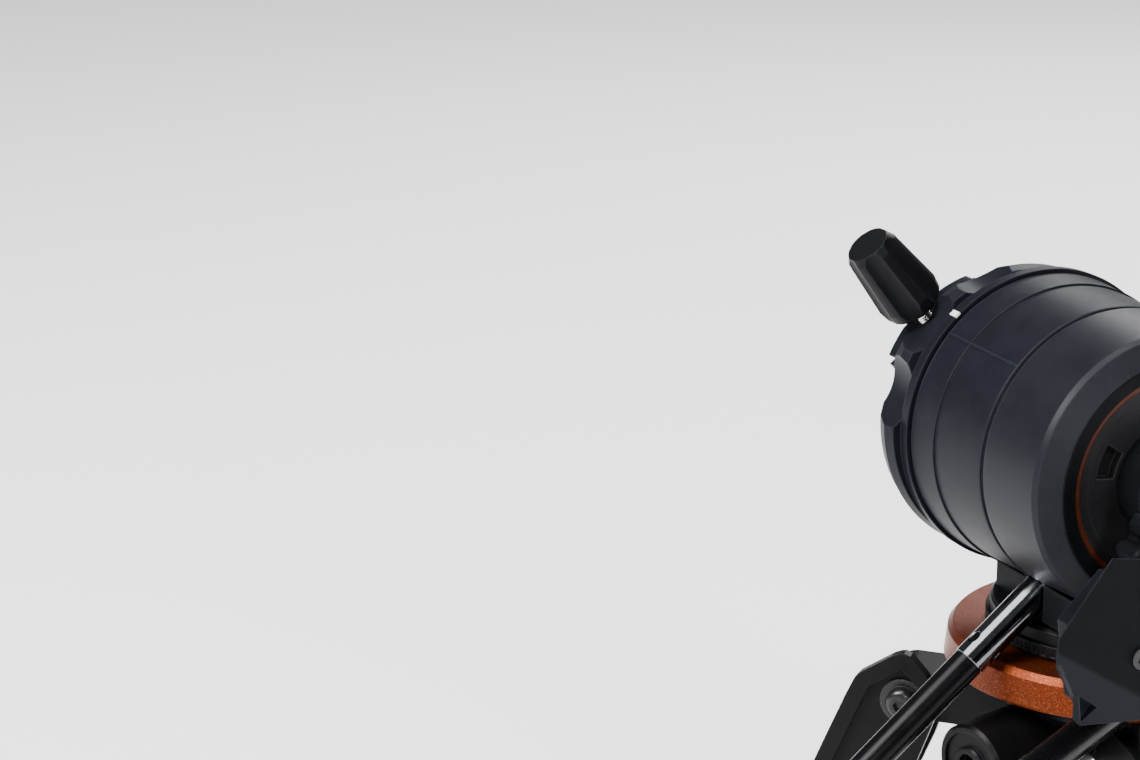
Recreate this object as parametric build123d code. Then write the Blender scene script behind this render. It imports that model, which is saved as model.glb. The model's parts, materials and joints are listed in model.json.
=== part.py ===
from build123d import *
import math
import os

os.makedirs("parts", exist_ok=True)

# Single-arm altazimuth mount head with slow-motion rods, on its tripod head.
# Frame: +Z up, origin on the azimuth axis at the underside of the tripod hub.
# The telescope would hang on the -X side and point towards +Y.

# ---- driving dimensions, millimetres and degrees ----
DRUM_X, DRUM_Y, AXIS_Z = 12.7, -13.0, 120.0   # split plane of the drum on the altitude axis
REST_ALTITUDE = 39.7                          # tube angle above the horizon at rest
ROD_DIP = 38.8                                # altitude rod, angle below the horizon
FIT = 0.04                                    # radial running clearance

DRUM_R = 55.0
FLANGE_R = 58.9
COLLAR_R = 57.2                               # the collar is eccentric, so it stands out on one side
COLLAR_SHIFT, COLLAR_HIGH_SIDE = 6.5, 158.0   # mm, and degrees from +Y at rest
SCALLOP_ANGLES = (109.0, 137.0, 165.0)        # degrees from +Y at rest
AXLE_R = 8.0
BUSH_R = 13.0
DOVETAIL_LOW, DOVETAIL_HIGH = -14.0, 39.0     # across the bar, measured from the altitude axis
CHANNEL_FLOOR = -71.0
SADDLE_FACE = -83.0
SADDLE_R = 51.5
SADDLE_SCREWS = ((-24, 0), (24, 0), (-24, 26), (24, 26))
JAW_TRAVEL = 2.5
JAW_TOP = 43.6
CHANNEL_TOP = JAW_TOP + JAW_TRAVEL + 0.4
PAD_TOP = 50.4
KNOB_LOW = 59.6
CLAMP_X, CLAMP_Y = -74.0, -3.4
CLAMP_SCREW_R = 2.95

ALT_MODULE, ALT_TEETH, ALT_WORM_R = 1.0, 30, 6.7
AZ_MODULE, AZ_TEETH, AZ_WORM_R = 0.8, 98, 5.0
ROD_R = 6.0
FERRULE_R = 6.35

DISC_R, DISC_LOW, DISC_TOP = 62.0, 30.2, 43.8
TURN_R, TURN_LOW, TURN_TOP = 46.0, 44.4, 55.6
SPINDLE_R = 6.0
AZ_BUSH_R = 10.0
AZ_WORM_Z, AZ_WORM_SIDE = 50.6, 30.0          # height, and direction of its point of contact

HUB_R, HUB_LOW, HUB_PLATE = 47.0, 0.0, 17.0
THREAD_R = 3.97                               # 3/8-16 hole for the spreader bolt
LEG_ANGLES = (-135.0, -15.0, 105.0)
BOSS_ANGLES = (-75.0, 45.0, 165.0)
BOSS_R, BOSS_END, BOSS_Z = 15.4, 76.5, 7.0
PIVOT_R, PIVOT_Z, PIVOT_PIN_R = 77.2, 5.8, 4.0
LEG_SPLAY = 22.0
LUG_HALF, CHEEK_IN, CHEEK_OUT = 12.0, 12.3, 17.0
LEG_TUBE_R = 12.7
RECESS = 3.0                                  # depth of the near cheek's pocket
COVER_BACK, COVER_FRONT, COVER_LOW = 96.0, 112.7, 59.4
COVER_SCREWS = ((-62, 104), (-66, 84), (-30, 104))

LOW = (Align.CENTER, Align.CENTER, Align.MIN)
DRUM = Pos(DRUM_X, DRUM_Y, AXIS_Z)
TUBE = DRUM * Rot(REST_ALTITUDE, 0, 0)        # local Y along the tube, local Z square to it
DRIVE = DRUM * Rot(ROD_DIP, 0, 0)             # local -Y along the altitude rod
ALT_WORM_DROP = ALT_MODULE * ALT_TEETH / 2 + ALT_WORM_R
AZ_WORM_OFFSET = AZ_MODULE * AZ_TEETH / 2 + AZ_WORM_R

parts = {}


# ---- small shape helpers ----
def rodZ(radius, low, high, x=0.0, y=0.0):
    return Pos(x, y, low) * Cylinder(radius, high - low, align=LOW)


def tubeZ(outer, inner, low, high, x=0.0, y=0.0):
    return rodZ(outer, low, high, x, y) - rodZ(inner, low - 1, high + 1, x, y)


def rodX(radius, start, end):
    return Pos(start, 0, 0) * Rot(0, 90, 0) * Cylinder(radius, end - start, align=LOW)


def tubeX(outer, inner, start, end):
    return rodX(outer, start, end) - rodX(inner, start - 1, end + 1)


def turnedX(points):
    return revolve(make_face(Polyline(*points, close=True)), Axis.X)


def turnedZ(points):
    return revolve(Plane.XZ * make_face(Polyline(*points, close=True)), Axis.Z)


def block(x0, x1, y0, y1, z0, z1):
    middle = Pos((x0 + x1) / 2, (y0 + y1) / 2, (z0 + z1) / 2)
    return middle * Box(x1 - x0, y1 - y0, z1 - z0)


def prismX(points, start, end):
    """A prism along X whose outline is given as (y, z) points."""
    return extrude(Plane((start, 0, 0), x_dir=(0, 1, 0), z_dir=(1, 0, 0))
                   * make_face(Polyline(*points, close=True)), end - start)


def prismY(points, start, end):
    """A prism along Y whose outline is given as (x, z) points."""
    return extrude(Plane((0, end, 0), x_dir=(1, 0, 0), z_dir=(0, -1, 0))
                   * make_face(Polyline(*points, close=True)), end - start)


def hexNut(across, low, high):
    return extrude(Pos(0, 0, low) * RegularPolygon(across / math.sqrt(3), 6), high - low)


def buttonHead(radius, height, socket):
    """A domed screw head standing on Z = 0, with a hex socket in its top."""
    dome = Cylinder(radius, height, align=LOW)
    dome = fillet(dome.edges().group_by(Axis.Z)[-1], height * 0.55)
    return dome - Pos(0, 0, height * 0.45) * extrude(RegularPolygon(socket / math.sqrt(3), 6), height)


def polar(radius, angle):
    return radius * math.cos(math.radians(angle)), radius * math.sin(math.radians(angle))


# ---- worm gearing ----
def wormSolid(module, pitch_radius, turns, shaft_radius, back, front):
    """Right-handed single-start worm along Z, a thread crossing +X at Z = 0."""
    pitch = math.pi * module
    length = pitch * turns
    core = pitch_radius - module
    path = Helix(pitch=pitch, height=length, radius=core)
    foot, tip = 0.30 * pitch, 0.088 * pitch
    height = 1.8 * module
    outline = [(-0.4, -foot), (height, -tip), (height, tip), (-0.4, foot)]
    profile = Plane(origin=path @ 0, x_dir=(1, 0, 0), z_dir=path % 0) * make_face(
        Polyline(*outline, close=True))
    thread = sweep(profile, path=path, is_frenet=True)
    reach = length / 2 + pitch * 0.7
    body = rodZ(core, -reach, reach) + rodZ(shaft_radius, -back, front)
    return body + Pos(0, 0, -length / 2) * thread


def wheelOutline(module, teeth):
    """Gear outline in XY with a gap centred on +X."""
    radius = module * teeth / 2
    pitch = math.pi * module
    root, tip = radius - 1.15 * module, radius + 0.8 * module
    rootHalf, tipHalf = 0.30 * pitch / root, 0.11 * pitch / tip
    points = []
    for tooth in range(teeth):
        middle = 2 * math.pi * (tooth + 0.5) / teeth
        for reach, turn in ((root, -rootHalf), (tip, -tipHalf), (tip, tipHalf), (root, rootHalf)):
            points.append((reach * math.cos(middle + turn), reach * math.sin(middle + turn)))
    return make_face(Polyline(*points, close=True))


# ---- tripod head ----
def tripodHub():
    plate = turnedZ([(0, HUB_LOW), (20, HUB_LOW), (23, 3), (23, HUB_PLATE - 2), (HUB_R - 4, HUB_PLATE),
                     (HUB_R, HUB_PLATE + 4), (HUB_R, DISC_LOW), (0, DISC_LOW)])
    for angle in LEG_ANGLES:
        lug = Pos(0, 0, PIVOT_Z) * Rot(90, 0, 0) * Cylinder(11.5, 2 * LUG_HALF)
        arm = block(20, PIVOT_R, -LUG_HALF, LUG_HALF, PIVOT_Z - 8, PIVOT_Z + 11.5)
        rib = block(20, 56, -7, 7, HUB_PLATE - 2, DISC_LOW - 4)
        arm = arm + Pos(PIVOT_R, 0, 0) * lug + rib
        arm -= Pos(PIVOT_R, 0, PIVOT_Z) * Rot(90, 0, 0) * Cylinder(PIVOT_PIN_R + FIT, 60)
        plate += Rot(0, 0, angle) * arm
    for angle in BOSS_ANGLES:
        barrel = rodX(BOSS_R, 18, BOSS_END)
        barrel = chamfer(barrel.edges().group_by(Axis.X)[-1], 1.2)
        barrel -= rodX(BOSS_R - 3, BOSS_END - 2.4, BOSS_END + 1)
        barrel -= rodX(4.2, BOSS_END - 14, BOSS_END + 1)
        plate += Rot(0, 0, angle) * Pos(0, 0, BOSS_Z) * barrel
    plate -= rodZ(THREAD_R, HUB_LOW - 1, 11)
    plate -= rodZ(SPINDLE_R, 12.5, DISC_LOW + 1)
    return plate


def pivotBolt():
    """Along local Y: button head on the +Y cheek, plain shank, nut on the -Y cheek."""
    shank = Rot(90, 0, 0) * Cylinder(PIVOT_PIN_R, 2 * CHEEK_OUT + 3.2)
    washer = Pos(0, CHEEK_OUT - RECESS, 0) * Rot(-90, 0, 0) * Cylinder(9.4, 1.5, align=LOW)
    head = Pos(0, CHEEK_OUT - RECESS + 1.5, 0) * Rot(-90, 0, 0) * buttonHead(6.6, 5.0, 5.0)
    return shank + washer + head


def pivotNut():
    nut = hexNut(13, 0, 5.5)
    nut = nut - Cylinder(PIVOT_PIN_R, 30)
    return Pos(0, -CHEEK_OUT, 0) * Rot(90, 0, 0) * nut


def bracketOutlines():
    """Near and far cheek about the pivot as (outward, up): a broad or a low head and a splayed shank."""
    along, across = (math.sin(math.radians(LEG_SPLAY)), -math.cos(math.radians(LEG_SPLAY)))
    outer = (33.0, -23.0)
    corner = (outer[0] + 42 * along, outer[1] + 42 * across)
    inner = (corner[0] + 37 * across, corner[1] - 37 * along)
    heel = (inner[0] - 56 * along, inner[1] - 56 * across)
    shank = [outer, corner, inner, heel]
    near = [(-10.6, 12.0), (-2.0, 21.5), (3.0, 20.5), (19.0, 9.6), (23.6, -0.4)] + shank + [(-14.0, -3.0)]
    far = [(-8.0, 5.0), (-3.0, 8.6), (5.0, 8.0), (16.0, -2.0), (22.0, -10.0)] + shank + [(-12.0, -5.0)]
    return near, far


def bracketCheek(outline):
    face = Plane.XZ * make_face(Polyline(*outline, close=True))
    cheek = extrude(face, CHEEK_OUT - CHEEK_IN)
    return chamfer(cheek.edges().filter_by(Axis.Y), 1.6)


def legBracket():
    """Clevis in the radial plane, local X outward, its pivot on local Y through the origin."""
    outline, farOutline = bracketOutlines()
    near = Pos(0, CHEEK_OUT, 0) * bracketCheek(outline)
    far = Pos(0, -CHEEK_IN, 0) * bracketCheek(farOutline)
    leg = Rot(0, -LEG_SPLAY, 0)
    corner, inner = outline[6], outline[7]
    foot = ((corner[0] + inner[0]) / 2, 0, (corner[1] + inner[1]) / 2)
    socket = Pos(*foot) * leg * block(-17.5, 17.5, -CHEEK_IN - 1, CHEEK_IN + 1, 0, 44)
    bracket = near + far + socket
    bracket -= Pos(*foot) * leg * rodZ(LEG_TUBE_R, -5, 38)
    inside = offset(make_face(Polyline(*outline, close=True)), amount=-6.5)
    bracket -= Pos(0, CHEEK_OUT, 0) * extrude(Plane.XZ * inside, RECESS)
    slot = Pos(*foot) * leg * Pos(0, 0, 34) * Rot(90, 0, 0) * SlotOverall(16, 6).rotate(Axis.Z, 90).face()
    bracket -= extrude(slot, 30, both=True)
    bracket -= Rot(90, 0, 0) * Cylinder(PIVOT_PIN_R + FIT, 60)
    bracket -= Pos(0, CHEEK_OUT - RECESS, 0) * Rot(-90, 0, 0) * Cylinder(9.8, RECESS + 1, align=LOW)
    return bracket


def bossCap():
    cap = rodX(BOSS_R - 3, BOSS_END - 2.4, BOSS_END - 1.2) + rodX(7.0, BOSS_END - 2.4, BOSS_END + 0.8)
    cap = chamfer(cap.edges().group_by(Axis.X)[-1], 0.8)
    return cap - rodX(4.4, BOSS_END - 6, BOSS_END + 4)


def hubBolt():
    head = rodZ(4.2, 0, 5) - Pos(0, 0, -1) * extrude(RegularPolygon(2.9, 6), 3.5)
    return head + rodZ(6.2, 5, 6.2)


# ---- azimuth turning group ----
def baseDisc():
    return turnedZ([(SPINDLE_R, DISC_LOW), (DISC_R + 0.9, DISC_LOW), (DISC_R + 1.2, DISC_LOW + 1),
                    (DISC_R, DISC_TOP - 2.6), (DISC_R - 2.2, DISC_TOP), (SPINDLE_R, DISC_TOP)])


def azimuthWheel():
    gear = Pos(0, 0, AZ_WORM_Z - 2.6) * extrude(wheelOutline(AZ_MODULE, AZ_TEETH), 5.0)
    gear = Rot(0, 0, AZ_WORM_SIDE) * gear
    web = rodZ(36.5, DISC_TOP, 46.0)
    rim = tubeZ(36.5, 34.8, 46.0, AZ_WORM_Z - 2.6)
    gear -= rodZ(34.8, 40, 60)
    return gear + web + rim - rodZ(SPINDLE_R, 40, 60)


def turntable():
    cup = turnedZ([(AZ_BUSH_R, 47.5), (32, 47.5), (32, 53.6), (41.2, 53.6), (41.2, TURN_LOW),
                   (TURN_R, TURN_LOW), (TURN_R, TURN_TOP - 1.2), (TURN_R - 1.2, TURN_TOP),
                   (AZ_BUSH_R, TURN_TOP)])
    cup -= tubeZ(15.0, 9.0, 54.2, 60)
    return cup - wormBoxShape(0.0)


def ribbedBand():
    band = tubeZ(TURN_R + 1.6, TURN_R, TURN_LOW + 0.6, TURN_LOW + 5.4)
    for index in range(72):
        x, y = polar(TURN_R + 1.7, index * 5)
        band -= Pos(x, y, TURN_LOW + 3) * Rot(0, 0, index * 5) * Box(0.9, 2.0, 3.4)
    return band - wormBoxShape(0.0) - azimuthWormFrame() * rodZ(7.0, 20, 60)


def azimuthWormFrame():
    """Local Z along the azimuth worm, local X towards the wheel's axis."""
    x, y = polar(AZ_WORM_OFFSET, AZ_WORM_SIDE)
    wayX, wayY = polar(1.0, AZ_WORM_SIDE - 90)
    inX, inY = polar(1.0, AZ_WORM_SIDE + 180)
    return Plane(origin=(x, y, AZ_WORM_Z), x_dir=(inX, inY, 0), z_dir=(wayX, wayY, 0)).location


def wormBoxShape(extra):
    """The outer shape of the azimuth worm's box, in the frame of the whole mount."""
    shape = block(-9.5 - extra, 8.0, -7.6 - extra, 6.2, -22, 25)
    return azimuthWormFrame() * shape


def azimuthWormBox():
    box = wormBoxShape(0.0)
    box -= azimuthWormFrame() * rodZ(6.5, -12.5, 12.5)
    box -= azimuthWormFrame() * rodZ(5.0, -40, 40)
    box -= rodZ(41.2, 40, 60)
    return box


def azimuthWormBush(low, high):
    return azimuthWormFrame() * tubeZ(5.0, 3.0 + FIT, low, high)


# ---- control rods, along local Z from the end of the worm shaft ----
def ferrule(start, end, shaft):
    body = rodZ(FERRULE_R, start, end)
    body = chamfer(body.edges().group_by(Axis.Z)[-1], 0.5)
    body -= rodZ(shaft, start - 1, start + 14)
    body -= rodZ(ROD_R, end - 12, end + 1)
    for turn in (0, 120, 240):
        dimple = Rot(0, 0, turn) * Pos(FERRULE_R + 5.1, 0, end - 8) * Sphere(5.9)
        body -= dimple
    return body


def gripSolid(start, end):
    body = turnedZ([(0, start), (8.0, start), (9.6, start + 5), (10.2, end - 6), (9.0, end - 1),
                    (7.5, end), (0, end)])
    for index in range(10):
        x, y = polar(12.0, index * 36)
        body -= rodZ(2.9, start + 7, end + 1, x, y)
    return body - rodZ(ROD_R, start - 1, end - 6)


# ---- the drum ----
def altitudePort(radius, near, far):
    """A cylinder along the altitude rod, for the port and its boss."""
    return Rot(ROD_DIP, 0, 0) * Pos(0, 0, -ALT_WORM_DROP) * Rot(90, 0, 0) * rodZ(radius, near, far)


def innerShell():
    shell = turnedX([(-46.5, BUSH_R), (-46.5, 57.4), (-31.9, 56.7), (-31.3, 56.1), (-1.5, 55.2),
                     (-0.6, 54.2), (-0.6, 50.4), (-38.4, 51.4), (-38.4, BUSH_R)])
    shell += (altitudePort(9.2, 44, 52.5) & block(-40, -0.6, -90, 90, -90, 90)) - rodX(51.2, -40, 40)
    return shell - altitudePort(7.0, 30, 70)


def outerShell():
    shell = turnedX([(0.6, 50.5), (0.6, 54.2), (1.5, 55.1), (31.0, 53.6), (33.2, 52.6), (38.7, 45.5),
                     (30.0, 45.5), (30.0, BUSH_R), (22.0, BUSH_R), (22.0, 50.5)])
    shell += (altitudePort(9.2, 44, 52.5) & block(0.6, 40, -90, 90, -90, 90)) - rodX(51.2, -40, 40)
    return shell - altitudePort(7.0, 30, 70)


def jointRing():
    ring = tubeX(50.3, 46.5, -8, 8) + tubeX(53.4, 49, -0.55, 0.55)
    return ring - altitudePort(7.0, 30, 70)


def wormCarrier():
    carrier = block(-8.4, 8.4, -20, 20, -ALT_WORM_DROP - 9.5, -ALT_WORM_DROP + 5.5)
    carrier += block(-8.4, 8.4, -20, 20, -46.8, -ALT_WORM_DROP - 9.5) & rodX(46.5, -9, 9)
    carrier -= Pos(0, 0, -ALT_WORM_DROP) * Rot(90, 0, 0) * Cylinder(8.2, 24.5)
    carrier -= Pos(0, 0, -ALT_WORM_DROP) * Rot(90, 0, 0) * Cylinder(6.0, 60)
    carrier -= rodX(17.0, -4.4, 4.4)
    return Rot(ROD_DIP, 0, 0) * carrier


def endCap():
    cap = turnedX([(30.0, 0), (30.0, 37.5), (35.6, 37.5), (36.2, 36.9), (36.2, 33.5), (35.7, 32.9),
                   (35.7, 0)])
    sector = tubeX(30.0, 22.5, 32.2, 40) & prismX([(0, 0), polar(60, 147), polar(60, 172)], 30, 40)
    return cap - sector


# ---- saddle, in the tube's tilted frame ----
def collarSolid():
    """Eccentric collar behind the flange, with scallops cut into its high side."""
    collar = turnedX([(-67.0, 0), (-67.0, COLLAR_R - 5), (-63.5, COLLAR_R - 2), (-57.0, COLLAR_R),
                      (-52.0, COLLAR_R - 1), (-52.0, 0)])
    shiftY, shiftZ = polar(COLLAR_SHIFT, COLLAR_HIGH_SIDE - REST_ALTITUDE)
    collar = Pos(0, shiftY, shiftZ) * collar
    for fromLevel in SCALLOP_ANGLES:
        angle = fromLevel - REST_ALTITUDE
        y, z = polar(COLLAR_R + 17.5, angle)
        collar -= Pos(-60, y, z) * Rot(angle, 0, 0) * Rot(0, 80, 0) * Cylinder(18.5, 30)
    return collar


def saddle():
    body = rodX(FLANGE_R, -52.0, -47.5) + collarSolid()
    body += block(SADDLE_FACE, -67.0, -34, 34, -32, PAD_TOP) & rodX(SADDLE_R, -90, -60)
    channel = [(SADDLE_FACE - 1, DOVETAIL_LOW + 3.6), (CHANNEL_FLOOR, DOVETAIL_LOW - 0.4),
               (CHANNEL_FLOOR, CHANNEL_TOP), (SADDLE_FACE - 1, CHANNEL_TOP)]
    body -= prismY(channel, -60, 60)
    body -= rodX(AXLE_R, -64, -40)
    body -= Pos(CLAMP_X, CLAMP_Y, 0) * rodZ(CLAMP_SCREW_R + FIT, 40, 70)
    body -= Pos(CLAMP_X, CLAMP_Y, 0) * rodZ(9.0, PAD_TOP, 70)
    for y, z in SADDLE_SCREWS:
        body -= Pos(0, y, z) * (rodX(4.6, -75, -66.5) + rodX(2.5, -75, -60))
    return body


def saddleScrews():
    screws = []
    for y, z in SADDLE_SCREWS:
        screw = rodX(4.4, -70.8, -66.5) + rodX(2.5, -66.6, -60)
        screw -= Pos(-71, 0, 0) * Rot(0, 90, 0) * extrude(RegularPolygon(2.3, 6), 2.6)
        screws.append(Pos(0, y, z) * screw)
    return Compound(children=screws)


def clampJaw():
    outline = [(SADDLE_FACE + 0.4, DOVETAIL_HIGH - 3.4), (SADDLE_FACE + 0.4, JAW_TOP),
               (CHANNEL_FLOOR - 0.1, JAW_TOP), (CHANNEL_FLOOR - 0.1, DOVETAIL_HIGH)]
    jaw = prismY(outline, -24, 24)
    return jaw - Pos(CLAMP_X, CLAMP_Y, 0) * rodZ(CLAMP_SCREW_R + FIT, 40.5, 60)


def clampKnob():
    body = turnedZ([(0, KNOB_LOW), (10.6, KNOB_LOW), (12.0, KNOB_LOW + 1.6), (12.8, KNOB_LOW + 6),
                    (10.4, KNOB_LOW + 31.0), (8.6, KNOB_LOW + 34), (0, KNOB_LOW + 34)])
    for index in range(6):
        x, y = polar(17.2, index * 60 + 30)
        lean = Rot(0, 0, index * 60 + 30) * Rot(0, -4.5, 0)
        body -= Pos(x, y, KNOB_LOW + 17) * lean * Cylinder(7.4, 60)
    return body - rodZ(CLAMP_SCREW_R, KNOB_LOW - 1, KNOB_LOW + 13.4)


# ---- arm ----
def armCasting():
    foot = rodZ(TURN_R - 2, TURN_TOP, 72) & block(-31, 60, -34, 60, 50, 80)
    bridge = block(20, 88, -44, 34, 59.4, 74)
    upright = prismX([(-34, 59.4), (-38, 78), (-35, 96), (-29, 105), (-24, 117), (-15, 131), (2, 132),
                      (14, 118), (32, 100), (34, 59.4)], DRUM_X + 40.5, 80)
    tongue = prismX([(-74, COVER_LOW), (-78, 88), (-62, 104), (-14, 98), (8, 88), (20, COVER_LOW)],
                    80, COVER_BACK)
    casting = foot + bridge + upright + tongue
    for y, z, radius in ((-25.5, 118.0, 3.6), (-31.5, 109.0, 4.4), (-37.0, 100.5, 3.8)):
        lump = rodX(radius, 58, 72)
        lump = fillet(lump.edges(), radius * 0.6)
        casting += Pos(0, y, z) * lump
    casting += DRUM * rodX(21, 36.2, 50)
    casting -= DRUM * (rodX(57.5, -60, -0.6) + rodX(DRUM_R + 0.15, -1, 40.4))
    casting += DRUM * rodX(21, 35.7, 41)
    casting -= DRUM * (altitudePort(9.6, 30, 53) + altitudePort(FERRULE_R + 1.0, 30, 120))
    casting -= wormBoxShape(2.0)
    casting -= rodZ(15.2, TURN_TOP - 1, 64)
    casting -= azimuthWormFrame() * rodZ(7.4, 20, 160)
    return casting


def coverOutline(inset, drop):
    """The cover's outline as (y, z); its upper and left sides draw in by inset and drop towards the back."""
    high = [(-79.8, 121.9), (-10, 110.0), (20, 96)]
    left = [(-93.4, 65.0), (-93.0, 72.4), (-100.3, 86.8), (-99.6, 96.5)]
    return ([(y + inset, z - drop) for y, z in high[:1]] + [(y, z - drop) for y, z in high[1:]]
            + [(30, 62), (-40, COVER_LOW), (-90.5 + inset, COVER_LOW)]
            + [(y + inset, max(z - drop, COVER_LOW + 1)) for y, z in left])


def armCover():
    front = Plane((COVER_FRONT, 0, 0), x_dir=(0, 1, 0), z_dir=(1, 0, 0)) * make_face(
        Polyline(*coverOutline(0, 0), close=True))
    back = Plane((COVER_BACK, 0, 0), x_dir=(0, 1, 0), z_dir=(1, 0, 0)) * make_face(
        Polyline(*coverOutline(13.0, 9.5), close=True))
    cover = loft([back, front], ruled=True)
    line = (0.84, -0.542)
    lean = 0.42
    plane = Plane(origin=(COVER_FRONT, -98.6, 91.4), x_dir=(0, line[0], line[1]),
                  z_dir=(1, lean * line[1], -lean * line[0]))
    cover -= plane * Box(400, 400, 80, align=LOW)
    pocket = prismX([(-87.4, 72.5), (-79.6, 66.6), (-84.0, 60.9)], COVER_FRONT - 9, COVER_FRONT + 10)
    slit = prismX([(-98.0, 86.4), (-96.8, 86.6), (-88.6, 71.2), (-89.8, 70.8)], COVER_FRONT - 8, COVER_FRONT + 10)
    return cover - pocket - slit


# ---- tripod head nodes ----
parts["tripod_hub"] = tripodHub()
parts["hub_boss_caps"] = Compound(children=[Rot(0, 0, angle) * Pos(0, 0, BOSS_Z) * bossCap()
                                            for angle in BOSS_ANGLES])
hubBolts = []
for angle in (-44.0, 76.0, 196.0):
    x, y = polar(53.8, angle)
    hubBolts.append(Pos(x, y, DISC_LOW - 6.2) * hubBolt())
parts["base_disc_bolts"] = Compound(children=hubBolts)
for number, angle in enumerate(LEG_ANGLES, start=1):
    place = Rot(0, 0, angle) * Pos(PIVOT_R, 0, PIVOT_Z)
    parts[f"leg_bracket_{number}"] = place * legBracket()
    parts[f"leg_pivot_bolt_{number}"] = place * pivotBolt()
    parts[f"leg_pivot_nut_{number}"] = place * pivotNut()

# ---- azimuth nodes ----
parts["azimuth_base_disc"] = baseDisc()
parts["azimuth_spindle"] = rodZ(SPINDLE_R, 12.5, 63.4)
parts["azimuth_worm_wheel"] = azimuthWheel()
parts["azimuth_glide_ring"] = tubeZ(30, 12, 46.0, 47.45)
parts["azimuth_bush"] = tubeZ(AZ_BUSH_R, SPINDLE_R + FIT, 47.5, 54.2)
parts["azimuth_thrust_washer"] = tubeZ(13.5, SPINDLE_R + FIT, 54.2, 55.7)
parts["azimuth_spindle_nut"] = hexNut(19, 55.9, 62.4) - rodZ(SPINDLE_R, 50, 70)
parts["turntable"] = turntable()
parts["turntable_ribbed_band"] = ribbedBand()
parts["azimuth_worm_box"] = azimuthWormBox()
parts["azimuth_worm_bushes"] = Compound(children=[azimuthWormBush(-21.5, -12.6), azimuthWormBush(12.6, 24.5)])
azShaft = wormSolid(AZ_MODULE, AZ_WORM_R, 6, 3.0, 20.0, 42.0)
parts["azimuth_worm"] = azimuthWormFrame() * azShaft
parts["azimuth_rod_ferrule"] = azimuthWormFrame() * ferrule(28.0, 72.0, 3.0)
parts["azimuth_rod"] = azimuthWormFrame() * rodZ(ROD_R, 60.0, 214.0)
parts["azimuth_rod_grip"] = azimuthWormFrame() * gripSolid(168.0, 220.0)

# ---- drum nodes ----
parts["drum_inner_shell"] = DRUM * innerShell()
parts["drum_outer_shell"] = DRUM * outerShell()
parts["drum_joint_ring"] = DRUM * jointRing()
parts["drum_end_ring"] = DRUM * turnedX([(30.0, 39.9), (30.0, 45.5), (38.7, 45.5), (38.9, 44.6),
                                         (38.9, 40.4), (38.4, 39.9)])
parts["drum_accent_ring"] = DRUM * turnedX([(30.0, 37.5), (30.0, 39.9), (37.2, 39.9), (37.5, 39.4),
                                            (37.5, 38.0), (37.2, 37.5)])
parts["drum_end_cap"] = DRUM * endCap()
parts["axle_bush_inner"] = DRUM * tubeX(BUSH_R, AXLE_R + FIT, -46.5, -38.4)
parts["axle_bush_outer"] = DRUM * tubeX(BUSH_R, AXLE_R + FIT, 22.0, 29.9)
parts["altitude_worm_carrier"] = DRUM * wormCarrier()
wormBushes = []
for middle in (-15.9, 15.9):
    bush = Pos(0, middle, -ALT_WORM_DROP) * Rot(90, 0, 0) * (Cylinder(6.0, 7.0) - Cylinder(4.0 + FIT, 9))
    wormBushes.append(DRIVE * bush)
parts["altitude_worm_bushes"] = Compound(children=wormBushes)

# ---- arm nodes ----
parts["arm_casting"] = armCasting()
parts["arm_outer_cover"] = armCover()
coverScrews = []
for y, z in COVER_SCREWS:
    head = rodX(4.0, COVER_FRONT - 3, COVER_FRONT + 1)
    head -= Pos(COVER_FRONT - 0.6, 0, 0) * Rot(0, 90, 0) * extrude(RegularPolygon(2.3, 6), 3)
    coverScrews.append(Pos(0, y, z) * head)
    parts["arm_outer_cover"] -= Pos(0, y, z) * rodX(4.0, COVER_FRONT - 3, COVER_FRONT + 2)
parts["arm_cover_screws"] = Compound(children=coverScrews)

# ---- altitude turning group ----
parts["altitude_axle"] = DRUM * (rodX(AXLE_R, -64.0, 28.5))
wheel = Rot(ROD_DIP, 0, 0) * Rot(0, 90, 0) * extrude(wheelOutline(ALT_MODULE, ALT_TEETH), 7.0)
wheel = Pos(-3.5, 0, 0) * wheel - rodX(AXLE_R, -20, 20)
parts["altitude_worm_wheel"] = DRUM * wheel
parts["altitude_spacer"] = DRUM * tubeX(11.0, AXLE_R, -38.2, -3.5)
parts["altitude_spring_washer"] = DRUM * tubeX(12.5, AXLE_R, 3.5, 6.0)
parts["altitude_lock_nut"] = DRUM * (Rot(0, 90, 0) * hexNut(24, 6.0, 14.0) - rodX(AXLE_R, 0, 20))
parts["altitude_friction_pad"] = DRUM * tubeX(44.0, 20.0, -47.5, -46.6)
parts["saddle"] = TUBE * saddle()
parts["saddle_screws"] = TUBE * saddleScrews()
mark = (Pos(-49.4, 0, FLANGE_R + 0.1) * Box(4.2, 2.4, 0.9))
parts["altitude_index_mark"] = TUBE * mark
parts["saddle"] -= TUBE * mark
parts["clamp_jaw"] = TUBE * clampJaw()
parts["clamp_screw"] = TUBE * Pos(CLAMP_X, CLAMP_Y, 0) * rodZ(CLAMP_SCREW_R, 40.6, 73.0)
parts["clamp_knob"] = TUBE * Pos(CLAMP_X, CLAMP_Y, 0) * clampKnob()

# ---- altitude drive ----
driveAxis = DRIVE * Pos(0, 0, -ALT_WORM_DROP) * Rot(90, 0, 0) * Rot(0, 0, 90)
parts["altitude_worm"] = driveAxis * wormSolid(ALT_MODULE, ALT_WORM_R, 6, 4.0, 19.0, 60.0)
parts["altitude_rod_ferrule"] = driveAxis * ferrule(46.0, 92.0, 4.0)
parts["altitude_rod"] = driveAxis * rodZ(ROD_R, 80.0, 224.0)
parts["altitude_rod_grip"] = driveAxis * gripSolid(176.0, 230.0)

for name, shape in parts.items():
    export_step(shape, f"parts/{name}.step")
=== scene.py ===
import json
import math

import bpy
import bmesh
from mathutils import Matrix, Vector


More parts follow.
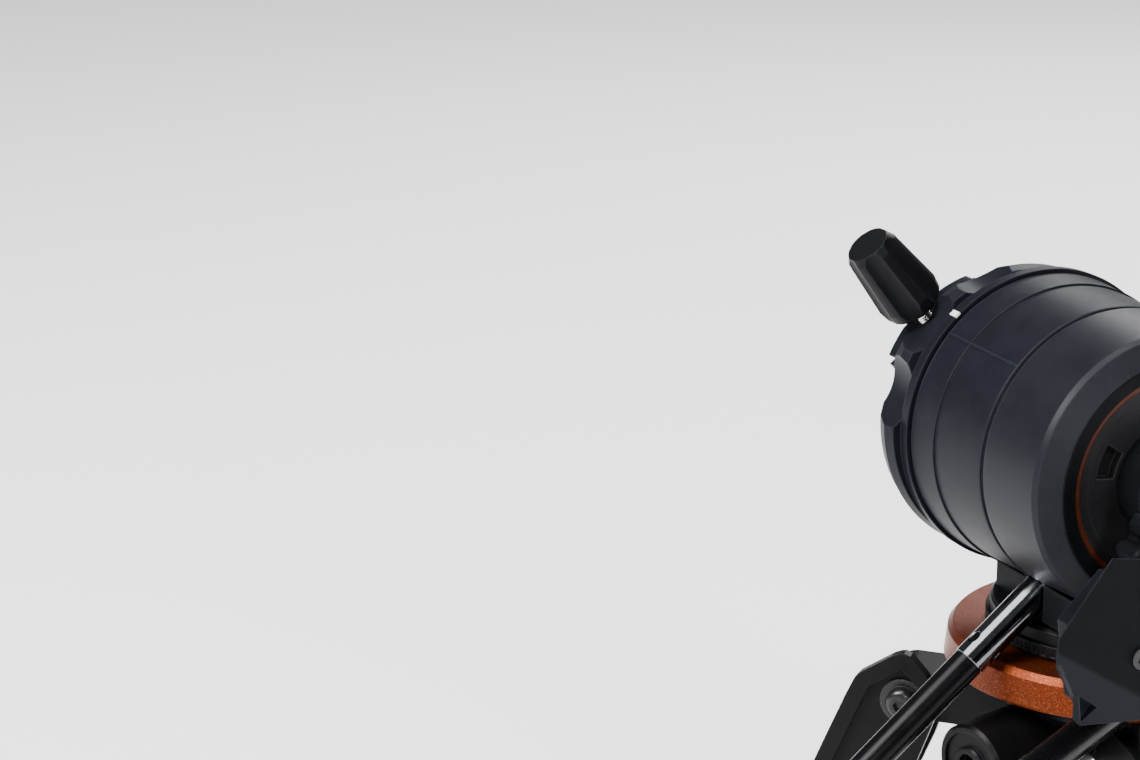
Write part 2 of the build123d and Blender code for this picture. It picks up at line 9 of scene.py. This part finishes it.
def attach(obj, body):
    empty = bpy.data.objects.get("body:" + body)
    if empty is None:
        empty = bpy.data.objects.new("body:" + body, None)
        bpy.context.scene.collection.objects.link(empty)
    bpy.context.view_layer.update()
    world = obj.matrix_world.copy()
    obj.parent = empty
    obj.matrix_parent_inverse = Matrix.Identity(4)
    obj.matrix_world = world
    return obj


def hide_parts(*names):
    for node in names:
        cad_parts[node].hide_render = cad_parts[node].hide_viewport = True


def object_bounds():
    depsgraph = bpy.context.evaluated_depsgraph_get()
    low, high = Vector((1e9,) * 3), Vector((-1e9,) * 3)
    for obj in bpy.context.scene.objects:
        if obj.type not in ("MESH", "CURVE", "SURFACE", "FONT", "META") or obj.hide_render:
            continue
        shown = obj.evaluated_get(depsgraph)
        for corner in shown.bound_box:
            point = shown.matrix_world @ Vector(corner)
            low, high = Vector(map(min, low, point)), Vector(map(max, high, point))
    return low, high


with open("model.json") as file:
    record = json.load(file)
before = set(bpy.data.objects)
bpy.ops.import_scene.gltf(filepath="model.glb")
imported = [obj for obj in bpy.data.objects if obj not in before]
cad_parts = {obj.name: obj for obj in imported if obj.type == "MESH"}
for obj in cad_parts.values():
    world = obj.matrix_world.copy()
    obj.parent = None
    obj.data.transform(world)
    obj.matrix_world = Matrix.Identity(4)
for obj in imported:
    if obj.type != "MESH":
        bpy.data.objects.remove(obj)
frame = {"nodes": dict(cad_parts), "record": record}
nodes = frame["nodes"]
cadBox = [list(corner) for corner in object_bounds()]
print("frame loaded:", len(nodes), "nodes")

mm = 0.001
drumCentre = Vector((12.7, -13.0, 120.0)) * mm    # altitude axis at the drum's split plane
restAltitude = math.radians(39.7)
rodDip = math.radians(38.8)
tubeWay = Vector((0, math.cos(restAltitude), math.sin(restAltitude)))      # along the telescope
clampWay = Vector((0, -math.sin(restAltitude), math.cos(restAltitude)))    # out through the clamp knob
rodWay = Vector((0, -math.cos(rodDip), -math.sin(rodDip)))                 # down the altitude rod


class Wire:
    def __init__(self, finish, socket):
        self.finish = finish
        self.socket = socket

    def maths(self, operation, first, second):   # one Math node
        return self.finish.node("ShaderNodeMath", {"operation": operation}, {0: first, 1: second})

    def __add__(self, other):
        return self.maths("ADD", self, other)

    def __radd__(self, other):
        return self.maths("ADD", other, self)

    def __sub__(self, other):
        return self.maths("SUBTRACT", self, other)

    def __rsub__(self, other):
        return self.maths("SUBTRACT", other, self)

    def __mul__(self, other):
        return self.maths("MULTIPLY", self, other)

    def __rmul__(self, other):
        return self.maths("MULTIPLY", other, self)

    def __pow__(self, other):
        return self.maths("POWER", self, other)


edgeHighlightCosines = {"none": 0.994, "full": 0.93}   # cosine between the rounded and the flat normal, over which the painted edge highlight fades in
bevelSamples = 6


class Finish:
    def __init__(self, name):
        self.material = bpy.data.materials.new(name)
        self.material.use_nodes = True
        self.tree = self.material.node_tree
        self.shader = self.tree.nodes["Principled BSDF"]

    def node(self, kind, settings, sockets, output=0):
        made = self.tree.nodes.new(kind)
        for key, value in settings.items():
            if key == "stops":
                self.setStops(made.color_ramp, value)
            else:
                setattr(made, key, value)
        for key, value in sockets.items():
            self.plug(made.inputs[key], value)
        return Wire(self, made.outputs[output])

    def setStops(self, ramp, stops):
        while len(ramp.elements) < len(stops):
            ramp.elements.new(1.0)
        for element, (place, shade) in zip(ramp.elements, stops):
            element.position = place
            element.color = (*shade, 1.0) if isinstance(shade, tuple) else (shade, shade, shade, 1.0)

    def plug(self, socket, value):
        if isinstance(value, Wire):
            self.tree.links.new(value.socket, socket)
        elif isinstance(value, tuple) and len(value) == 3 and socket.type == "RGBA":
            socket.default_value = (*value, 1.0)
        else:
            socket.default_value = value

    def fix(self, **values):
        for name, value in values.items():
            self.plug(self.shader.inputs[name.replace("_", " ")], value)

    def place(self, stretch=(1, 1, 1), turn=(0, 0, 0)):
        coordinates = self.node("ShaderNodeTexCoord", {}, {}, "Object")
        return self.node("ShaderNodeMapping", {}, {"Vector": coordinates, "Scale": stretch, "Rotation": turn})

    def grain(self, size, detail=2.0, rough=0.5, at=None):
        return self.node("ShaderNodeTexNoise", {}, {
            "Vector": at or self.place(), "Scale": 1.0 / size, "Detail": detail, "Roughness": rough}, "Fac")

    def between(self, amount, low, high):
        return self.node("ShaderNodeMapRange", {}, {
            "Value": amount, "From Min": 0.3, "From Max": 0.7, "To Min": low, "To Max": high})

    def shade(self, amount, first, second):
        return self.node("ShaderNodeMix", {"data_type": "RGBA"}, {
            "Factor": amount, "A": first, "B": second}, "Result")

    def relief(self, height, depth, soften=None):
        edges = {"Normal": soften} if soften else {}
        return self.node("ShaderNodeBump", {}, {
            "Height": height, "Distance": depth, "Strength": 1.0, **edges}, "Normal")

    def paintedEdgeHighlights(self, soft):   # painted highlight: lighter colour where the rounded normal leaves the flat one, on edges and in grooves
        flat = self.node("ShaderNodeNewGeometry", {}, {}, "True Normal")
        agree = self.node("ShaderNodeVectorMath", {"operation": "DOT_PRODUCT"}, {0: soft, 1: flat}, "Value")
        return self.node("ShaderNodeMapRange", {}, {
            "Value": agree, "From Min": edgeHighlightCosines["none"], "From Max": edgeHighlightCosines["full"],
            "To Min": 0.0, "To Max": 1.0})

    def beyond(self, start, end):   # 0 before start and 1 after end, along X
        along = self.node("ShaderNodeSeparateXYZ", {}, {"Vector": self.place()}, "X")
        return self.node("ShaderNodeMapRange", {}, {
            "Value": along, "From Min": start, "From Max": end, "To Min": 0.0, "To Max": 1.0})

    def roundEdges(self, radius):
        return self.node("ShaderNodeBevel", {"samples": bevelSamples}, {"Radius": radius}, "Normal")

    def alongWay(self, way, scale):   # stretches a pattern along or across a direction
        lean = math.atan2(math.hypot(way.x, way.y), way.z)
        heading = math.atan2(way.y, way.x)
        turned = self.place(scale, (0, -lean, -heading))
        return self.node("ShaderNodeTexNoise", {}, {"Vector": turned, "Scale": 1.0, "Detail": 2.0}, "Fac")


castLook = {   # satin powder coat on the castings
    "dark": (0.0042, 0.0045, 0.0068), "light": (0.0080, 0.0085, 0.0124), "rough": (0.38, 0.48),
    "grain": 0.6 * mm, "depth": 0.06 * mm, "edge": 0.7 * mm, "coat": 0.01, "shine": 0.07, "edgeHighlightGain": 2.4}
endLook = {   # leathery grain on the drum's end bevel
    **castLook, "crinkle": (45.3 * mm, 46.3 * mm), "gain": 2.5, "shine": 0.12}
armLook = {   # the arm and its cover are darker than the drum
    "dark": (0.0026, 0.0028, 0.0036), "light": (0.005, 0.0053, 0.0068), "rough": (0.40, 0.50),
    "grain": 0.6 * mm, "depth": 0.05 * mm, "edge": 1.2 * mm, "coat": 0.0, "shine": 0.04, "edgeHighlightGain": 3.0}
coverLook = {   # painted light: the cover's chamfered sides are coloured lighter than its flat front
    **armLook, "edge": 0.9 * mm, "edgeHighlightGain": 5.0, "face": (112.3 * mm, 112.6 * mm), "sides": 1.9}
capLook = {   # grey moulding of the end cap with a painted highlight on its edges, and painted shade that makes it black at the bottom of its notch
    "dark": (0.008, 0.008, 0.009), "light": (0.017, 0.017, 0.0185), "rough": (0.36, 0.46),
    "grain": 0.5 * mm, "depth": 0.03 * mm, "edge": 0.6 * mm, "coat": 0.0, "shine": 0.12, "edgeHighlightGain": 3.5,
    "face": (43.2 * mm, 46.5 * mm), "sides": 0.12}
headLook = {   # a touch blacker and glossier, on the tripod head
    "dark": (0.0022, 0.0022, 0.0026), "light": (0.005, 0.005, 0.0056), "rough": (0.32, 0.44),
    "grain": 0.7 * mm, "depth": 0.03 * mm, "edge": 0.6 * mm, "coat": 0.01, "shine": 0.08, "edgeHighlightGain": 4.0}
mouldLook = {   # moulded black plastic of the knob and grips
    "dark": (0.0022, 0.0023, 0.0028), "light": (0.005, 0.0052, 0.0062), "rough": (0.34, 0.44),
    "grain": 0.25 * mm, "depth": 0.012 * mm, "edge": 0.45 * mm, "coat": 0.01, "shine": 0.09, "edgeHighlightGain": 4.0}
ringLook = {**mouldLook, "shine": 0.05}
boltLook = {   # black oxide, oiled
    "dark": (0.004, 0.004, 0.0045), "light": (0.009, 0.009, 0.0095), "rough": (0.2, 0.34),
    "grain": 0.9 * mm, "depth": 0.008 * mm, "edge": 0.3 * mm, "coat": 0.1, "shine": 0.3, "edgeHighlightGain": 4.0}
clouding = {"size": 14 * mm, "detail": 4.0, "pores": 0.45}   # broad patches, and pores finer than the grain


def blackFinish(name, look):
    finish = Finish(name)
    cloud = finish.grain(clouding["size"], clouding["detail"], 0.6)
    speck = finish.grain(look["grain"], 3.0, 0.65)
    pores = finish.grain(look["grain"] * clouding["pores"], 1.0, 0.5)
    tone = finish.between(0.55 * cloud + 0.45 * speck, 0.0, 1.0)
    low, high = look["rough"]
    soft = finish.roundEdges(look["edge"])
    body = finish.shade(tone, look["dark"], look["light"])
    # colour of the painted highlight on edges
    edgeHighlightColour = tuple(look["edgeHighlightGain"] * part for part in look["light"])
    height = 0.7 * speck + 0.3 * pores
    # painted light and shade: below the span along X the colour is scaled, lighter on the cover's chamfered
    # sides, black at the bottom of the end cap's notch
    if "face" in look:
        sides = tuple(look["sides"] * part for part in look["light"])
        body = finish.shade(finish.beyond(*look["face"]), sides, body)
    if "crinkle" in look:
        height = height * (1.0 + look["gain"] * finish.beyond(*look["crinkle"]))
    # painted highlight along edges and grooves, patchy with the clouding
    edgeHighlightMask = finish.paintedEdgeHighlights(soft) * finish.between(cloud, 0.4, 1.0)
    finish.fix(Base_Color=finish.shade(edgeHighlightMask, body, edgeHighlightColour),
               Roughness=finish.between(0.6 * cloud + 0.4 * pores, low, high),
               Coat_Weight=look["coat"], Coat_Roughness=0.28, Specular_IOR_Level=look["shine"],
               Normal=finish.relief(height, look["depth"], soft))
    return finish.material


rodLook = {   # gloss sleeve of the control rods
    "dark": (0.0015, 0.0015, 0.0018), "light": (0.003, 0.003, 0.0035), "rough": (0.2, 0.3),
    "cloud": 9 * mm, "ripple": 3.5 * mm, "depth": 0.02 * mm, "edge": 0.2 * mm}


def rodFinish(name):
    finish = Finish(name)
    cloud = finish.grain(rodLook["cloud"], 3.0)
    ripple = finish.grain(rodLook["ripple"], 2.0)
    low, high = rodLook["rough"]
    finish.fix(Base_Color=finish.shade(cloud, rodLook["dark"], rodLook["light"]),
               Roughness=finish.between(cloud, low, high),
               Coat_Weight=0.03, Coat_Roughness=0.1, Specular_IOR_Level=0.1,
               Normal=finish.relief(ripple, rodLook["depth"], finish.roundEdges(rodLook["edge"])))
    return finish.material


chromeLook = {   # plated ferrules, drawn lengthways
    "dark": (0.10, 0.104, 0.115), "light": (0.18, 0.185, 0.2), "rough": (0.07, 0.18),
    "streak": (900, 900, 22), "smear": 6 * mm, "depth": 0.006 * mm, "edge": 0.3 * mm}


def chromeFinish(name, way):
    finish = Finish(name)
    streak = finish.alongWay(way, chromeLook["streak"])
    smear = finish.grain(chromeLook["smear"], 3.0)
    low, high = chromeLook["rough"]
    finish.fix(Base_Color=finish.shade(smear, chromeLook["dark"], chromeLook["light"]), Metallic=1.0,
               Roughness=finish.between(0.5 * streak + 0.5 * smear, low, high),
               Normal=finish.relief(streak, chromeLook["depth"], finish.roundEdges(chromeLook["edge"])))
    return finish.material


flakeLook = {   # copper paint with metal flake, on the disc
    "deep": (0.055, 0.008, 0.0018), "bright": (0.145, 0.026, 0.0055), "glint": (0.42, 0.15, 0.055),
    "flake": 0.3 * mm, "cloud": 12 * mm, "rough": (0.34, 0.44), "metal": 0.72,
    "rare": 0.9, "spark": 0.22, "depth": 0.018 * mm, "edge": 0.7 * mm}


def flakeFinish(name):
    finish = Finish(name)
    cells = finish.node("ShaderNodeTexVoronoi", {}, {
        "Vector": finish.place(), "Scale": 1.0 / flakeLook["flake"]}, "Color")
    flake = finish.node("ShaderNodeSeparateColor", {}, {"Color": cells}, "Red")
    cloud = finish.grain(flakeLook["cloud"], 3.0)
    low, high = flakeLook["rough"]
    body = finish.shade(0.75 * flake + 0.25 * cloud, flakeLook["deep"], flakeLook["bright"])
    glint = finish.node("ShaderNodeMath", {"operation": "GREATER_THAN"}, {0: flake, 1: flakeLook["rare"]})
    finish.fix(Base_Color=finish.shade(flakeLook["spark"] * glint, body, flakeLook["glint"]),
               Metallic=flakeLook["metal"], Roughness=finish.between(cloud, low, high),
               Coat_Weight=0.04, Coat_Roughness=0.2, Specular_IOR_Level=0.1,
               Normal=finish.relief(flake, flakeLook["depth"], finish.roundEdges(flakeLook["edge"])))
    return finish.material


accentLook = {   # painted ring in its groove; its dark orange is partly the paint's own colour and partly painted shade from the groove
    "dark": (0.045, 0.009, 0.003), "light": (0.075, 0.016, 0.005), "rough": (0.34, 0.46),
    "edge": 0.3 * mm, "fixed": {"Specular_IOR_Level": 0.2}}
markLook = {
    "dark": (0.62, 0.62, 0.60), "light": (0.80, 0.80, 0.78), "rough": (0.4, 0.55),
    "edge": 0.2 * mm, "fixed": {}}
nylonLook = {
    "dark": (0.55, 0.54, 0.50), "light": (0.72, 0.71, 0.67), "rough": (0.4, 0.5),
    "edge": 0.2 * mm, "fixed": {}}
plainGrain = {"cloud": 7 * mm, "speck": 0.4 * mm, "depth": 0.01 * mm}


def plainFinish(name, look):
    finish = Finish(name)
    cloud = finish.grain(plainGrain["cloud"], 4.0, 0.6)
    speck = finish.grain(plainGrain["speck"], 2.0)
    finish.fix(Base_Color=finish.shade(finish.between(cloud, 0.0, 1.0), look["dark"], look["light"]),
               Roughness=finish.between(0.5 * cloud + 0.5 * speck, *look["rough"]),
               Normal=finish.relief(speck, plainGrain["depth"], finish.roundEdges(look["edge"])),
               **look["fixed"])
    return finish.material


steelLook = {"dark": (0.42, 0.42, 0.43), "light": (0.62, 0.62, 0.63), "rough": (0.2, 0.36)}
screwLook = {"dark": (0.45, 0.44, 0.42), "light": (0.66, 0.65, 0.62), "rough": (0.16, 0.3)}
bronzeLook = {"dark": (0.38, 0.24, 0.09), "light": (0.58, 0.40, 0.18), "rough": (0.26, 0.4)}
turning = {"scale": (40, 40, 2600), "cloud": 5 * mm, "depth": 0.01 * mm, "edge": 0.25 * mm}   # lathe marks


def turnedFinish(name, look, way):
    finish = Finish(name)
    groove = finish.alongWay(way, turning["scale"])
    cloud = finish.grain(turning["cloud"], 3.0)
    finish.fix(Base_Color=finish.shade(finish.between(cloud, 0.0, 1.0), look["dark"], look["light"]),
               Metallic=1.0, Roughness=finish.between(0.6 * groove + 0.4 * cloud, *look["rough"]),
               Normal=finish.relief(groove, turning["depth"], finish.roundEdges(turning["edge"])))
    return finish.material


print("making finishes")
upright, sideways = Vector((0, 0, 1)), Vector((1, 0, 0))
armSide = math.radians(-60)   # heading of the azimuth rod
azimuthRodWay = Vector((math.cos(armSide), math.sin(armSide), 0))
finishes = {
    "cast": blackFinish("satinCoat", castLook),
    "drumEnd": blackFinish("drumEndCoat", endLook),
    "cover": blackFinish("coverCoat", coverLook),
    "arm": blackFinish("armCoat", armLook),
    "cap": blackFinish("capGrey", capLook),
    "ring": blackFinish("ringBlack", ringLook),
    "head": blackFinish("headCoat", headLook),
    "mould": blackFinish("mouldedBlack", mouldLook),
    "bolt": blackFinish("blackOxide", boltLook),
    "rod": rodFinish("glossSleeve"),
    "chromeAltitude": chromeFinish("chromeAltitudeRod", rodWay),
    "chromeAzimuth": chromeFinish("chromeAzimuthRod", azimuthRodWay),
    "copper": flakeFinish("copperFlake"),
    "accent": plainFinish("accentOrange", accentLook),
    "mark": plainFinish("whiteMark", markLook),
    "nylon": plainFinish("nylonWhite", nylonLook),
    "steelUp": turnedFinish("turnedSteelUpright", steelLook, upright),
    "steelSide": turnedFinish("turnedSteelSideways", steelLook, sideways),
    "steelClamp": turnedFinish("turnedSteelClamp", screwLook, clampWay),
    "steelDrive": turnedFinish("turnedSteelDrive", steelLook, rodWay),
    "steelTurn": turnedFinish("turnedSteelTurn", steelLook, azimuthRodWay),
    "bronzeUp": turnedFinish("bronzeUpright", bronzeLook, upright),
    "bronzeSide": turnedFinish("bronzeSideways", bronzeLook, sideways)}

nodeFinish = {
    "azimuth_base_disc": "copper", "drum_accent_ring": "accent", "altitude_index_mark": "mark",
    "azimuth_glide_ring": "nylon", "altitude_friction_pad": "nylon",
    "arm_outer_cover": "cover", "arm_casting": "arm", "drum_outer_shell": "drumEnd",
    "altitude_rod": "rod", "azimuth_rod": "rod",
    "altitude_rod_ferrule": "chromeAltitude", "azimuth_rod_ferrule": "chromeAzimuth",
    "azimuth_spindle": "steelUp", "azimuth_spindle_nut": "steelUp", "azimuth_thrust_washer": "steelUp",
    "altitude_axle": "steelSide", "altitude_spacer": "steelSide", "altitude_spring_washer": "steelSide",
    "altitude_lock_nut": "steelSide", "clamp_screw": "steelClamp", "altitude_worm": "steelDrive",
    "azimuth_worm": "steelTurn", "azimuth_worm_wheel": "bronzeUp", "azimuth_bush": "bronzeUp",
    "altitude_worm_wheel": "bronzeSide", "axle_bush_inner": "bronzeSide", "axle_bush_outer": "bronzeSide",
    "azimuth_worm_bushes": "bronzeUp", "altitude_worm_bushes": "bronzeSide",
    "clamp_knob": "mould", "altitude_rod_grip": "mould", "azimuth_rod_grip": "mould",
    "drum_end_cap": "cap", "drum_end_ring": "ring", "drum_joint_ring": "mould"}
slotFinish = {"bolt_black": "bolt", "head_black": "head", "casting_black": "cast", "plastic_black": "mould"}


def coat(piece, finishName):
    piece.data.materials.clear()
    piece.data.materials.append(finishes[finishName])


subparts = {entry["node"]: entry["material_slot"] for entry in frame["record"]["subparts"]}
for name, piece in nodes.items():
    coat(piece, nodeFinish.get(name) or slotFinish[subparts[name]])
print("finishes on every node")


weld, hairline = 0.001 * mm, 0.00001 * mm   # merge distances


def newPiece(name, bm, finishName, body):
    bmesh.ops.remove_doubles(bm, verts=bm.verts, dist=hairline)
    bmesh.ops.recalc_face_normals(bm, faces=bm.faces)
    mesh = bpy.data.meshes.new(name)
    bm.to_mesh(mesh)
    bm.free()
    piece = bpy.data.objects.new(name, mesh)
    bpy.context.scene.collection.objects.link(piece)
    coat(piece, finishName)
    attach(piece, body)
    return piece


def aimed(way, at):
    return Matrix.Translation(at) @ way.to_track_quat("Z", "Y").to_matrix().to_4x4()


def smoothFaces(bm):
    for face in bm.faces:
        face.smooth = True


thread = {   # M6 clamp thread, measured from the altitude axis along the screw
    "crest": 2.95 * mm, "root": 2.45 * mm, "pitch": 1.0 * mm, "low": 40.6 * mm, "high": 72.9 * mm,
    "steps": 24, "sides": 32, "plug": 0.4 * mm, "across": -74.0 * mm, "along": -3.4 * mm}


def makeClampThread():
    bm = bmesh.new()
    pitch, root, crest = thread["pitch"], thread["root"], thread["crest"]
    length = thread["high"] - thread["low"]
    profile = [(root, 0.0), (crest, 0.4 * pitch), (crest, 0.55 * pitch), (root, 0.95 * pitch), (root, pitch)]
    corners = [bm.verts.new((reach, 0, height)) for reach, height in profile]
    edges = [bm.edges.new(pair) for pair in zip(corners, corners[1:])]
    turns = int(length / pitch) - 1
    rise = (0, 0, pitch / thread["steps"])
    bmesh.ops.spin(bm, geom=corners + edges, cent=(0, 0, 0), axis=(0, 0, 1), dvec=rise,
                   angle=2 * math.pi * turns, steps=thread["steps"] * turns, use_merge=False)
    bmesh.ops.remove_doubles(bm, verts=bm.verts, dist=weld)
    smoothFaces(bm)
    for low, high in ((0.0, thread["plug"]), (length - pitch, length)):
        plug = bmesh.ops.create_cone(bm, cap_ends=True, segments=thread["sides"], radius1=root, radius2=root,
                                     depth=high - low)["verts"]
        bmesh.ops.translate(bm, verts=plug, vec=(0, 0, (low + high) / 2))
    clampAt = drumCentre + Vector((thread["across"], 0, 0)) + tubeWay * thread["along"]
    bmesh.ops.transform(bm, matrix=aimed(clampWay, clampAt + clampWay * thread["low"]), verts=bm.verts)
    piece = newPiece("clamp_screw_thread", bm, "steelClamp", "clamp_handle")
    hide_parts("clamp_screw")


beadSteps, beadSides = 180, 8
ridges = (   # beads round the drum: place along its axis, radius and thickness, in millimetres
    {"name": "drum_step_bead", "along": -31.6, "radius": 56.55, "thick": 0.28},
    {"name": "drum_gap_bead_inner", "along": -1.15, "radius": 54.85, "thick": 0.3},
    {"name": "drum_gap_bead_outer", "along": 1.15, "radius": 54.75, "thick": 0.3},
    {"name": "drum_rim_bead", "along": -45.9, "radius": 57.25, "thick": 0.3})


def ringAlongX(bm, radius, along, thick):
    hoop = bmesh.ops.create_circle(bm, segments=beadSides, radius=thick)["verts"]
    bmesh.ops.rotate(bm, verts=hoop, cent=(0, 0, 0), matrix=Matrix.Rotation(math.pi / 2, 3, "X"))
    bmesh.ops.translate(bm, verts=hoop, vec=(along, 0, radius))
    rim = list({edge for vert in hoop for edge in vert.link_edges})
    bmesh.ops.spin(bm, geom=hoop + rim, cent=(0, 0, 0), axis=(1, 0, 0), angle=2 * math.pi,
                   steps=beadSteps, use_merge=True)


def makeDrumBeads():
    for bead in ridges:
        bm = bmesh.new()
        ringAlongX(bm, bead["radius"] * mm, bead["along"] * mm, bead["thick"] * mm)
        smoothFaces(bm)
        bmesh.ops.translate(bm, verts=bm.verts, vec=drumCentre)
        newPiece(bead["name"], bm, "cast", "azimuth")


seam = {   # mould line along the drum, in millimetres from the split plane
    "angle": 137.0, "start": -46.0, "end": -1.6, "width": 0.9, "deep": 1.2, "proud": 0.22, "cuts": 6,
    "radius": 55.15, "from": -1.5, "taper": (57.4 - 55.2) / (46.5 - 1.5), "stepAt": -31.9, "step": 0.42}


def makeDrumSeam():
    bm = bmesh.new()
    length = (seam["end"] - seam["start"]) * mm
    bar = Matrix.Diagonal((length, seam["width"] * mm, seam["deep"] * mm, 1))
    bmesh.ops.create_cube(bm, size=1.0, matrix=bar)
    bmesh.ops.subdivide_edges(bm, edges=bm.edges, cuts=seam["cuts"], use_grid_fill=True)
    for vert in bm.verts:   # lies on the tapering drum
        along = seam["start"] * mm + length / 2 + vert.co.x
        reach = seam["radius"] + seam["taper"] * (seam["from"] * mm - along) / mm
        vert.co.x = along
        vert.co.z += (reach - seam["deep"] / 2 + seam["proud"]) * mm
        if along < seam["stepAt"] * mm:
            vert.co.z += seam["step"] * mm
    turn = Matrix.Rotation(math.radians(seam["angle"] - 90), 3, "X")
    bmesh.ops.rotate(bm, verts=bm.verts, cent=(0, 0, 0), matrix=turn)
    bmesh.ops.translate(bm, verts=bm.verts, vec=drumCentre)
    newPiece("drum_mould_seam", bm, "cast", "azimuth")


knurl = {   # fine teeth round the flange's edge
    "teeth": 300, "tip": 58.85 * mm, "root": 58.45 * mm, "start": -49.0 * mm, "end": -47.55 * mm, "lip": 0.97}


def makeFlangeKnurl():
    bm = bmesh.new()
    ring = bmesh.ops.create_circle(bm, segments=knurl["teeth"] * 2, radius=knurl["tip"])["verts"]
    for vert in ring[1::2]:
        vert.co *= knurl["root"] / knurl["tip"]
    rim = list({edge for vert in ring for edge in vert.link_edges})
    wall = bmesh.ops.extrude_edge_only(bm, edges=rim)["geom"]
    far = [item for item in wall if isinstance(item, bmesh.types.BMVert)]
    bmesh.ops.translate(bm, verts=far, vec=(0, 0, knurl["end"] - knurl["start"]))
    farEdges = [item for item in wall if isinstance(item, bmesh.types.BMEdge)]
    lip = bmesh.ops.extrude_edge_only(bm, edges=farEdges)["geom"]
    lipVerts = [item for item in lip if isinstance(item, bmesh.types.BMVert)]
    bmesh.ops.scale(bm, vec=(knurl["lip"], knurl["lip"], 1), verts=lipVerts)
    bmesh.ops.rotate(bm, verts=bm.verts, cent=(0, 0, 0), matrix=Matrix.Rotation(math.pi / 2, 3, "Y"))
    bmesh.ops.translate(bm, verts=bm.verts, vec=drumCentre + Vector((knurl["start"], 0, 0)))
    newPiece("flange_knurl", bm, "cast", "altitude")


makeClampThread()
makeDrumBeads()
makeDrumSeam()
makeFlangeKnurl()
print("thread, beads, seam and knurl made")

stageLook = {
    "pale": (0.93, 0.93, 0.935), "mottle": 0.4, "size": 14.0, "sky": (0.95, 0.96, 1.0), "world": 0.17,
    "sun": 3.2, "sunTurn": (32, -12, 20), "sunSpread": 40, "aim": (0, 0, 0.08)}


def makeFloor():
    mesh = bpy.data.meshes.new("floor")
    bm = bmesh.new()
    bmesh.ops.create_grid(bm, x_segments=2, y_segments=2, size=stageLook["size"])
    bmesh.ops.translate(bm, verts=bm.verts, vec=(0, 0, cadBox[0][2]))
    bm.to_mesh(mesh)
    bm.free()
    floor = bpy.data.objects.new("floor", mesh)
    bpy.context.scene.collection.objects.link(floor)
    paper = Finish("paperFloor")
    mottle = paper.grain(stageLook["mottle"], 2.0)
    pale = stageLook["pale"]
    paper.fix(Base_Color=paper.shade(mottle, tuple(0.98 * part for part in pale), pale), Roughness=0.85)
    mesh.materials.append(paper.material)


lamps = {   # place, size and watts; the edge lamp puts the highlight on the drum's end bevel
    "key": ((0.1, -1.7, 1.5), 1.0, 78.0),
    "fill": ((1.7, 0.5, 1.1), 0.7, 22.0),
    "back": ((-1.3, 1.2, 1.3), 1.0, 26.0),
    "top": ((-0.2, 0.1, 1.9), 0.9, 26.0),
    "edge": ((1.02, -0.74, 0.55), 0.3, 6.0)}


def makeLamps():
    for name, (place, size, watts) in lamps.items():
        lamp = bpy.data.lights.new(name, "AREA")
        lamp.shape = "DISK"
        lamp.size = size
        lamp.energy = watts
        holder = bpy.data.objects.new(name, lamp)
        holder.location = place
        holder.visible_camera = False
        aim = Vector(stageLook["aim"]) - holder.location
        holder.rotation_euler = aim.to_track_quat("-Z", "Y").to_euler()
        bpy.context.scene.collection.objects.link(holder)
    sun = bpy.data.lights.new("sun", "SUN")
    sun.energy = stageLook["sun"]
    sun.angle = math.radians(stageLook["sunSpread"])
    sky = bpy.data.objects.new("sun", sun)
    sky.rotation_euler = [math.radians(turn) for turn in stageLook["sunTurn"]]
    bpy.context.scene.collection.objects.link(sky)
    world = bpy.data.worlds.new("studio")
    bpy.context.scene.world = world
    world.use_nodes = True
    background = world.node_tree.nodes["Background"]
    background.inputs["Color"].default_value = (*stageLook["sky"], 1.0)
    background.inputs["Strength"].default_value = stageLook["world"]


cameraLook = {
    "place": (0.78447, -0.55490, 0.42554), "turn": 67.2, "dip": 16.6, "roll": -0.9,
    "lens": 82.1, "sensor": 36.0}


def makeCamera():
    lens = bpy.data.cameras.new("camera")
    lens.lens = cameraLook["lens"]
    lens.sensor_width = cameraLook["sensor"]
    holder = bpy.data.objects.new("camera", lens)
    turn = Matrix.Rotation(math.radians(cameraLook["turn"]), 4, "Z")
    tip = Matrix.Rotation(math.radians(90 - cameraLook["dip"]), 4, "X")
    roll = Matrix.Rotation(math.radians(cameraLook["roll"]), 4, "Z")
    holder.matrix_world = Matrix.Translation(cameraLook["place"]) @ turn @ tip @ roll
    bpy.context.scene.collection.objects.link(holder)
    bpy.context.scene.camera = holder


makeFloor()
makeLamps()
makeCamera()
print("stage, light and camera ready")
